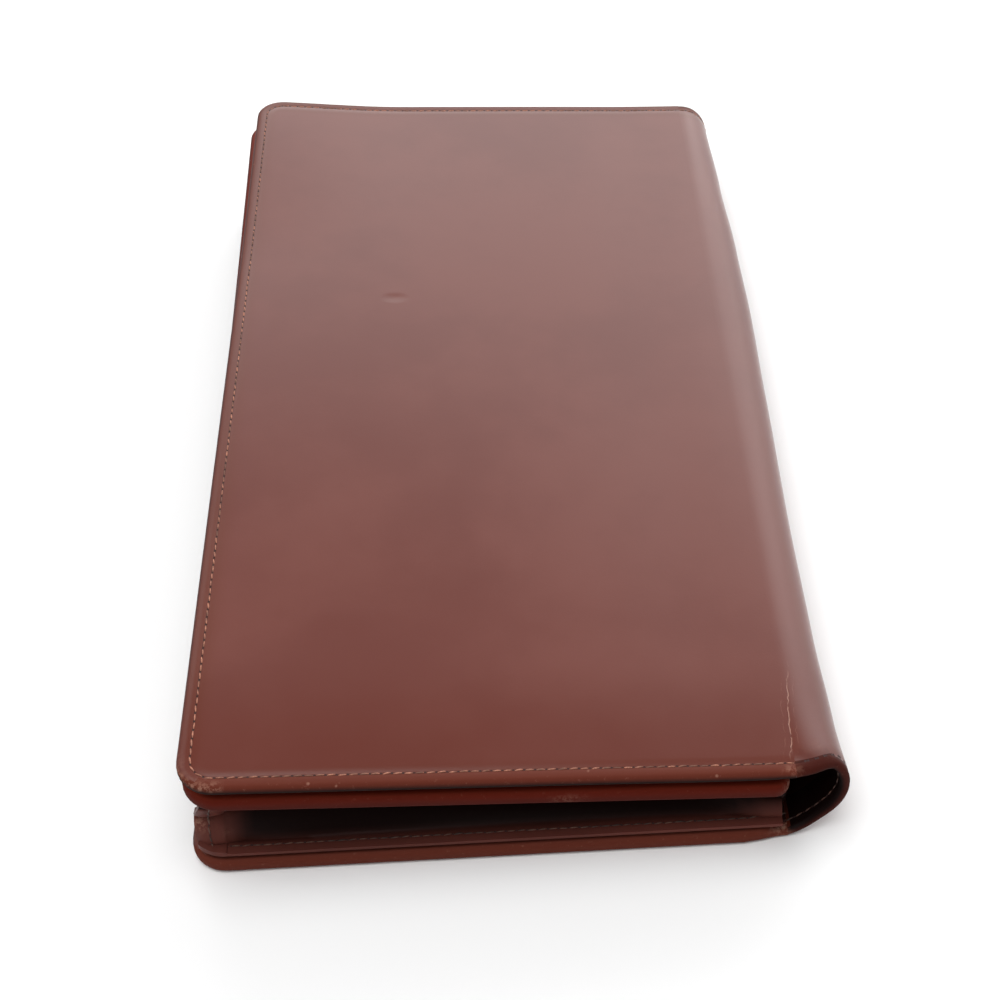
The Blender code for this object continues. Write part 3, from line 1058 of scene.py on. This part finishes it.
class WALLET_OT_add_flap(bpy.types.Operator):
    """Flap: turned leather, lining, board and stitching"""

    bl_idname = "wallet.add_flap"
    bl_label = "Flap"

    def execute(self, context):
        s = sizes()
        near = -s.half_length
        panel = Panel(
            "flap", flap_frame(), s.flap_reach, FLAP_SKIN, s.flap_thick, flap_shape, taper=0.0005, wall_shade=0.95
        )
        wear = corner_spots(s.crease_x - s.flap_reach, near, 0.0308, 0.0013, 0.7)
        wear.append((s.crease_x - 0.0012, near + 0.0012, 0.0255, 0.0012, 0.45))
        cover = cover_leather("flap_leather", marks=True)
        add_layers(panel, cover, cover_end_leather(), wear)
        board = inner_plate(panel, "flap_board_plate", *FLAP_BOARD, end=-0.0055)
        board.data.transform(panel.place)
        dress(board, board_material("board_fibre"), "flap")
        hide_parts("flap_board")
        sew_panel(panel)
        return {"FINISHED"}


class WALLET_OT_add_leaf(bpy.types.Operator):
    """Pocket leaf: leather turned on all four sides, lining and stitching"""

    bl_idname = "wallet.add_leaf"
    bl_label = "Leaf"

    def execute(self, context):
        s = sizes()
        near = -s.half_length
        panel = Panel(
            "leaf", leaf_frame(), s.leaf_reach, LEAF_SKIN, s.leaf_thick, leaf_shape, leaf_askew,
            end_radius=0.0035, wall_shade=0.40, flanged=True,
        )
        wear = [
            (s.crease_x - 0.0004, near + 0.0020, 0.0180, 0.0016, 1.0),
            (0.0105, near, 0.0205, 0.0011, 0.7),
        ]
        add_layers(panel, leaf_leather(), leaf_end_leather(), wear)
        sew_panel(panel, in_shade=True)
        return {"FINISHED"}


class WALLET_OT_add_back(bpy.types.Operator):
    """Back: turned leather, lining and stitching"""

    bl_idname = "wallet.add_back"
    bl_label = "Back"

    def execute(self, context):
        s = sizes()
        panel = Panel(
            "back", back_frame(), s.back_reach, BACK_SKIN, s.back_thick, back_shape,
            taper=0.0016, seam_depth=0.00024, flanged=True,
        )
        wear = [(s.crease_x - 0.001, 0.0016 - s.half_length, 0.003, 0.0022, 0.9)]
        pieces = add_layers(panel, cover_leather("back_leather"), cover_end_leather(), wear)
        for piece in pieces + sew_panel(panel, in_shade=True):
            for vert in piece.data.vertices:
                vert.co.y += back_recess(vert.co.x, vert.co.y)
        return {"FINISHED"}


# Spine

ROLL_SWELL = (
    (-0.130, 0.0019), (-0.110, 0.0009), (-0.085, 0.0), (-0.050, -0.0003), (0.0, 0.0002), (0.035, 0.0006),
    (0.065, 0.0001), (0.095, -0.0011), (0.130, -0.0022),
)


def spine_point(share, y, depth):
    """A point of the rolled spine: share 0 at the upper crease to 1 at the lower, and depth inwards."""
    s = sizes()
    height = s.crease_near + (s.crease_far - s.crease_near) * (y + s.half_length) / (2 * s.half_length)
    bulge = s.spine_bulge + through_stops(y, ROLL_SWELL)
    hump = 0.155 * height * eased(-y, 0.108, s.half_length)
    start = Vector((0, height + 0.00030))
    pull_top = Vector((1.17 * bulge, start.y + hump))
    pull_low = Vector((1.39 * bulge, height * 0.235))
    end = Vector((0, 0))
    rest = 1 - share
    spot = rest**3 * start + 3 * rest**2 * share * pull_top
    spot += 3 * rest * share**2 * pull_low + share**3 * end
    along = rest**2 * (pull_top - start) + 2 * rest * share * (pull_low - pull_top)
    along += share**2 * (end - pull_low)
    at_crease = Vector((-0.049, -0.9988))
    inward = at_crease.lerp(Vector((along.y, -along.x)).normalized(), eased(share, 0.0, 0.12)).normalized()
    moved = spot + depth * inward
    return Vector((s.crease_x + max(moved.x, 0.0), y, max(moved.y, 0.0)))


def spine_y(share, y):
    """Moves a place along the spine, whose near end stands back a little from the panels."""
    recess = 0.0031 * eased(share, 0.03, 0.30) * (1 - 0.35 * eased(share, 0.80, 1.0))
    return y + recess * eased(-y, 0.05, sizes().half_length)


def swept_spine(name, profile, stations):
    """A closed profile of (y, depth) swept along the spine's section."""
    rows = []
    for station in range(stations + 1):
        share = station / stations
        row = [spine_point(share, spine_y(share, y), depth) for y, depth in profile]
        row.append(row[0].copy())
        rows.append(row)
    obj = grid_sheet(name, rows)
    merge_and_turn_out(obj, close_ends=True)
    return obj


def worn_seam(place):
    """Where the roll's upper near seam has lost its thread."""
    return place.y < 0 and place.z > 0.5 * sizes().crease_near


def spine_profile():
    """The section of the spine's leather along y: thin in the middle, turned in and rounded at both ends."""
    s = sizes()
    full = SPINE_TURNED
    radius = 0.5 * full
    middle = s.half_length - s.turn_width
    flat_end = s.half_length - radius - 0.0004
    seam = s.half_length - s.stitch_inset
    end = []
    for i in range(6):
        angle = math.pi * i / 5
        end.append((s.half_length - radius * (1 - math.sin(angle)), radius * (1 - math.cos(angle))))
    outer_end = [flat_end, seam + GROOVE, seam, seam - GROOVE, s.half_length - 0.006, middle]
    across = [middle - 2 * middle * i / 44 for i in range(1, 44)]
    outer = outer_end + across + [-y for y in reversed(outer_end)]
    turned_in = [(y, full) for y in (flat_end, s.half_length - 0.005, middle)]
    turned_in.append((middle - 0.0001, s.leather))
    profile = [(y, GROOVE_DEPTH if abs(abs(y) - seam) < 1e-6 else 0.0) for y in outer]
    profile += [(-y, depth) for y, depth in end + turned_in]
    profile += [(2 * middle * i / 12 - middle, s.leather) for i in range(1, 12)]
    return profile + turned_in[::-1] + end[::-1]


def spine_skin():
    s = sizes()
    half = s.half_length
    skin = swept_spine("spine_skin", spine_profile(), 36)
    gaps = []
    seams = []
    shades = []
    for vert in skin.data.vertices:
        gap = half - abs(vert.co.y)
        if vert.co.y < 0:
            gap -= 0.0025 * eased(vert.co.x, s.crease_x + 0.001, s.crease_x + 0.008)
        gaps.append(max(gap - 0.0008, 0.0))
        seams.append(max(0.0, 1.0 - abs(gap - s.stitch_inset) / 0.0005))
        to_middle = Vector((s.crease_x + 0.003 - vert.co.x, 0, 0.5 * s.crease_near - vert.co.z))
        shades.append(eased(vert.normal.dot(to_middle.normalized()), 0.1, 0.5))
    keep_attributes(skin, edge_gap=gaps, seam=seams, shade=shades)
    assign_wear(skin, [
        (s.crease_x + 0.0050, 0.0078 - half, 0.0258, 0.0009, 0.7),
        (s.crease_x + 0.0075, 0.0066 - half, 0.0240, 0.0009, 0.8),
        (s.crease_x + 0.001, 0.0012 - half, 0.0250, 0.0012, 0.40),
        (s.crease_x + 0.001, 0.0025 - half, 0.0010, 0.0012, 0.6),
    ])
    smooth(skin)
    dress(skin, spine_leather(), "spine")
    skin.data.materials.append(spine_end_leather())
    for face in skin.data.polygons:
        at_end = half - abs(face.center.y) < s.turn_width + 0.003
        turned_in = at_end and min(shades[i] for i in face.vertices) > 0.3
        raw_end = face.center.y < 0.0062 - half and max(gaps[i] for i in face.vertices) < 0.0026
        if turned_in or raw_end:
            face.material_index = 1
    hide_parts("spine_cover")
    return skin


def spine_lining():
    s = sizes()
    reach = s.half_length - s.turn_width
    flat = [reach + 0.0003, *[reach - 0.010 * i for i in range(1, 24)], -reach - 0.0003]
    profile = [(y, s.leather + UNDER_SKIN) for y in flat]
    profile += [(y, SPINE_TURNED - 0.0001) for y in reversed(flat)]
    lining = swept_spine("spine_lining_skin", profile, 26)
    smooth(lining)
    dress(lining, lining_leather(), "spine")
    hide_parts("spine_lining")
    return lining


def spine_row(side, depth, outward):
    """One row of stitches round the roll at its near (-1) or far (1) end."""
    s = sizes()
    y = side * (s.half_length - s.stitch_inset)
    path = [spine_point(i / 60, spine_y(i / 60, y), depth) for i in range(1, 60)]
    row = []
    for place, along in even_steps(path, s.stitch_pitch / 2):
        row.append((place, along, outward * Vector((-along.z, 0, along.x)).normalized()))
    return row


class WALLET_OT_add_spine(bpy.types.Operator):
    """Spine: the rolled leather between the creases, its lining and its stitching"""

    bl_idname = "wallet.add_spine"
    bl_label = "Spine"

    def execute(self, context):
        pieces = [spine_skin(), spine_lining()]
        outer = [spine_row(side, 0.00010, 1) for side in (-1, 1)]
        inner = [spine_row(side, SPINE_TURNED, -1) for side in (-1, 1)]
        threads = sew("spine", outer, bare=worn_seam) + sew("spine_inner", inner, in_shade=True)
        for piece in threads:
            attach(piece, "spine")
        for piece in pieces + threads:
            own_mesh(piece)
        return {"FINISHED"}


# Gussets and strip


def corner_cut(x):
    """How far the rounded free corners of the panels draw their outline in at x."""
    s = sizes()
    into = min(max(s.crease_x - s.back_reach + s.corner_radius - x, 0.0), s.corner_radius)
    return s.corner_radius - math.sqrt(s.corner_radius**2 - into**2)


def gusset_mouth():
    return sizes().crease_x - sizes().back_reach + 0.0022


def gusset_wall(seam, fold, sag, out_share, x, lean=0.0):
    """Points from a gusset's seam to its fold, on a wall that sags, and swells by a share of the sag."""
    points = []
    for i in range(1, 9):
        t = i / 8
        swell = sag * math.sin(math.pi * t)
        spot = seam.lerp(fold, t)
        height = spot.y + swell * (1 - 1.6 * t)
        points.append(Vector((spot.x + abs(swell) * out_share, height, x + lean * (1 - t))))
    return points


def gusset_section(x, side):
    """The V fold at x, from its flange under the leaf, in to the fold and out to its flange on the back."""
    s = sizes()
    bend = 0.0008
    mouth = gusset_mouth()
    along = min((x - mouth) / 0.034, 1)
    depth = s.mouth_depth + (s.gusset_depth - s.mouth_depth) * along * (2 - along)
    depth *= 1 - 0.6 * eased(x, s.crease_x - 0.024, s.crease_x - 0.002)
    flange = min(0.0035, 0.45 * depth)
    tucked = min(flange - 0.0003, 0.0024)
    seat = 0.00075 + 0.00035 * eased(x, mouth + 0.0068, mouth + 0.0055)
    lean = 0.0024 * max(0.0, 1 - (x - mouth) / 0.009)
    outer = s.half_length - FLANGE_INSET - corner_cut(x)
    high = s.half_length - FLANGE_INSET - corner_cut(x + lean)
    top = min(leaf_under(x, side * outer), leaf_under(x, side * (outer - flange))) - seat
    low = s.back_thick + seat
    middle = (top + low) / 2 + 0.0006 * math.sin(70 * (x - mouth))
    centre = outer - depth + bend
    upper = [Vector((high - tucked - (flange - tucked) * i / 3, top, x + lean)) for i in range(4)]
    seam = Vector((high - flange, top))
    upper += gusset_wall(seam, Vector((centre, middle + bend)), 0.10 * (top - middle), 0.6, x, lean)
    lower = [Vector((outer - flange * i / 3, low, x)) for i in range(4)]
    seam = Vector((outer - flange, low))
    lower += gusset_wall(seam, Vector((centre, middle - bend)), 0.08 * (low - middle), 1.0, x)
    fold = []
    for i in range(1, 6):
        angle = 0.5 * math.pi + math.pi * i / 6
        fold.append(Vector((centre + bend * math.cos(angle), middle + bend * math.sin(angle), x)))
    return [Vector((spot.z, side * spot.x, spot.y)) for spot in upper + fold + lower[::-1]]


def on_wall(spot):
    """Whether a point of a gusset lies below its flange under the leaf."""
    return spot.z < leaf_under(spot.x, spot.y) - 0.0014


def gusset_shade(spot):
    """How deep inside the wallet a point of a gusset lies, from 0 in the open to 1 in the dark."""
    s = sizes()
    if not on_wall(spot):
        return 1.0
    into = spot.x - gusset_mouth()
    if spot.z < 0.5 * (leaf_under(spot.x, spot.y) + s.back_thick):
        margin = s.half_length - FLANGE_INSET - corner_cut(spot.x) - abs(spot.y)
        into = min(into, 2.3 * margin + 0.001)
    return eased(into, 0.0038, 0.0125)


class WALLET_OT_add_gussets(bpy.types.Operator):
    """Gussets: the two V folds of thin leather, with their turned hems and stitching"""

    bl_idname = "wallet.add_gussets"
    bl_label = "Gussets"

    def execute(self, context):
        s = sizes()
        first = gusset_mouth()
        last = s.crease_x - 0.0014
        hem = first + HEM_WIDTH
        hem_step = 0.0003
        places = [first + 0.001 * i for i in range(6)] + [hem - hem_step, hem, hem + hem_step]
        places += [hem + hem_step + (last - hem - hem_step) * (i / 44) ** 1.25 for i in range(1, 45)]
        for name, side in (("gusset_near", -1), ("gusset_far", 1)):
            rows = [gusset_section(x, side) for x in places]
            obj = grid_sheet(f"{name}_fold", rows)
            verts = [vert.co.copy() for vert in obj.data.vertices]
            keep_attributes(
                obj,
                edge_gap=[0.008 for _ in verts],
                shade=[gusset_shade(spot) for spot in verts],
                seam=[max(0.0, 1.0 - abs(spot.x - first - 0.0035) / 0.0008) for spot in verts],
            )
            assign_wear(obj, [
                (first + 0.001, side * 0.1235, 0.0115, 0.0018, 0.4),
                (hem, side * 0.1235, 0.0085, 0.0010, 0.5),
            ])
            weights = [1.0 if on_wall(spot) and spot.x < hem + 0.0001 else 0.0 for spot in verts]
            solidify(obj, GUSSET_LEATHER, 0, weights, 0.6)
            merge_and_turn_out(obj)
            smooth(obj)
            dress(obj, gusset_leather())
            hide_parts(name)
            row = []
            section = gusset_section(first + 0.0030, side)
            for place, along in even_steps(section[2:-2], s.stitch_pitch / 2):
                out = Vector((0, -side * along.z, side * along.y)).normalized()
                row.append((place + out * 0.00078, along, out))
            pieces = [obj, *sew(name, [row], in_shade=True)]
            for piece in pieces:
                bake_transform(piece)
        return {"FINISHED"}


class WALLET_OT_add_strip(bpy.types.Operator):
    """Strip: closes the pocket beside the spine"""

    bl_idname = "wallet.add_strip"
    bl_label = "Pocket strip"

    def execute(self, context):
        s = sizes()
        half = s.half_length - 0.0075
        wall_x = s.crease_x - 0.0015
        flange_x = wall_x - 0.0027
        end_x = wall_x - 0.0055
        seat = 0.0007
        low = s.back_thick + seat
        rows = []
        for station in range(41):
            y = -half + 2 * half * station / 40
            top = leaf_under(wall_x, y) - seat
            row = [Vector((end_x, y, leaf_under(end_x, y) - seat)), Vector((flange_x, y, top))]
            for i in range(13):
                angle = 0.5 * math.pi - math.pi * i / 12
                swell = 0.0012 * (1 + 0.25 * noise.noise(Vector((i * 0.3, y * 60, 2.0))))
                height = (top + low) / 2 + (top - low) / 2 * math.sin(angle)
                row.append(Vector((wall_x + swell * math.cos(angle), y, height)))
            row += [Vector((flange_x, y, low)), Vector((end_x, y, low))]
            rows.append(row)
        obj = grid_sheet("pocket_strip_fold", rows)
        solidify(obj, STRIP_LEATHER, 0)
        merge_and_turn_out(obj)
        smooth(obj)
        count = len(obj.data.vertices)
        keep_attributes(obj, edge_gap=[0.008] * count, shade=[1.0] * count)
        dress(obj, gusset_leather())
        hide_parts("pocket_strip")
        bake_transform(obj)
        return {"FINISHED"}


class WALLET_OT_finish_boards(bpy.types.Operator):
    """Boards: those of back and leaf keep their solids and get their surface"""

    bl_idname = "wallet.finish_boards"
    bl_label = "Boards"

    def execute(self, context):
        for name in ("back_board", "leaf_board"):
            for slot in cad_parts[name].material_slots:
                slot.material = board_material("board_fibre")
        return {"FINISHED"}


# Stage


def soft_light(name, place, aim, width, height, power):
    data = bpy.data.lights.new(name, "AREA")
    data.shape = "RECTANGLE"
    data.size = width
    data.size_y = height
    data.energy = power
    lamp = bpy.data.objects.new(name, data)
    bpy.context.scene.collection.objects.link(lamp)
    lamp.location = place
    lamp.rotation_euler = (Vector(aim) - Vector(place)).to_track_quat("-Z", "Y").to_euler()


def build_world():
    """A sky that is white at the horizon and dims upwards."""
    world = bpy.data.worlds.new("studio")
    sky = Nodes(world, "Generated")
    _, _, up = sky.axes()
    strength = sky.times(sky.ramp(up, 0.14, 0.36, 1.0, 0.48), sky.ramp(up, 0.35, 0.75, 1.0, 0.10))
    background = sky.tree.nodes["Background"]
    sky.plug(strength, background.inputs["Strength"])
    sky.plug((1, 1, 1), background.inputs["Color"])
    bpy.context.scene.world = world


@built_once
def floor_material(look):
    """A pale floor that far from the wallet shows as plain white, however little light reaches it."""
    pale = colours().floor
    look.colour = look.mix(look.noise(3.0, 2.0, 0.5), pale, tuple(min(1.0, 1.02 * value) for value in pale))
    look.rough = 0.7
    look.set_uniform(Specular_IOR_Level=0.2)
    path = look.add("ShaderNodeLightPath", {}).outputs
    mirrored = look.most(path["Is Glossy Ray"], path["Is Transmission Ray"])
    seen_directly = look.most(path["Is Camera Ray"], mirrored)
    away = look.vector("LENGTH", look.where)["Value"]
    share = look.times(look.ramp(away, 0.40, 0.80), seen_directly)
    white = look.add("ShaderNodeEmission", {"Strength": 1.0}).outputs[0]
    mixed = look.add("ShaderNodeMixShader", {0: share, 1: look.shader.outputs[0], 2: white})
    look.plug(mixed.outputs[0], look.tree.nodes["Material Output"].inputs["Surface"])


class WALLET_OT_build_stage(bpy.types.Operator):
    """Stage: pale floor, soft lights and the camera"""

    bl_idname = "wallet.build_stage"
    bl_label = "Stage"

    def execute(self, context):
        deselect()
        bpy.ops.mesh.primitive_grid_add(x_subdivisions=24, y_subdivisions=24, size=8, location=(0, 0, 0))
        floor = name_new("studio_floor")
        for vert in floor.data.vertices:
            vert.co.z = 0.35 * max(0.0, vert.co.y - 2.0) ** 2
        floor.data.materials.append(floor_material("studio_floor"))
        soft_light("key_light", (-0.20, -0.20, 1.30), (0, 0, 0), 1.2, 1.2, 18.0)
        soft_light("side_light", (0.80, 0.78, 0.56), (0.05, 0, 0.02), 1.2, 1.2, 5.6)
        soft_light("back_light", (0.22, 1.120, 0.61), (0, 0.0, 0.03), 1.9, 0.70, 9.6)
        build_world()
        data = bpy.data.cameras.new("camera")
        data.sensor_width = 36
        data.lens = 64.8
        data.shift_x = -0.0732
        data.shift_y = -0.0066
        data.clip_start = 0.01
        camera = bpy.data.objects.new("camera", data)
        context.scene.collection.objects.link(camera)
        camera.location = CAMERA_PLACE
        camera.rotation_euler = CAMERA_TURN
        context.scene.camera = camera
        context.scene.view_settings.view_transform = "Standard"
        return {"FINISHED"}


# Panel in the sidebar and registration

STEPS = (
    WALLET_OT_build_stage,
    WALLET_OT_add_flap,
    WALLET_OT_add_leaf,
    WALLET_OT_add_back,
    WALLET_OT_add_spine,
    WALLET_OT_add_gussets,
    WALLET_OT_add_strip,
    WALLET_OT_finish_boards,
)


class WALLET_PT_sidebar(bpy.types.Panel):
    """Lists the wallet's sizes, colours and building steps"""

    bl_idname = "WALLET_PT_sidebar"
    bl_label = "Clutch wallet"
    bl_space_type = "VIEW_3D"
    bl_region_type = "UI"
    bl_category = "Wallet"

    def draw(self, context):
        for group in (context.scene.wallet_sizes, context.scene.wallet_colours):
            box = self.layout.box()
            for name in group.__annotations__:
                box.prop(group, name)
        for step in STEPS:
            self.layout.operator(step.bl_idname)


CLASSES = (WalletSizes, WalletColours, *STEPS, WALLET_PT_sidebar)


def register():
    for item in CLASSES:
        bpy.utils.register_class(item)
    bpy.types.Scene.wallet_sizes = PointerProperty(type=WalletSizes)
    bpy.types.Scene.wallet_colours = PointerProperty(type=WalletColours)


def unregister():
    del bpy.types.Scene.wallet_colours
    del bpy.types.Scene.wallet_sizes
    for item in reversed(CLASSES):
        bpy.utils.unregister_class(item)


def main():
    register()
    bpy.ops.wallet.build_stage()
    bpy.ops.wallet.add_flap()
    bpy.ops.wallet.add_leaf()
    bpy.ops.wallet.add_back()
    bpy.ops.wallet.add_spine()
    bpy.ops.wallet.add_gussets()
    bpy.ops.wallet.add_strip()
    bpy.ops.wallet.finish_boards()
    bpy.context.view_layer.update()


if __name__ == "__main__":
    main()
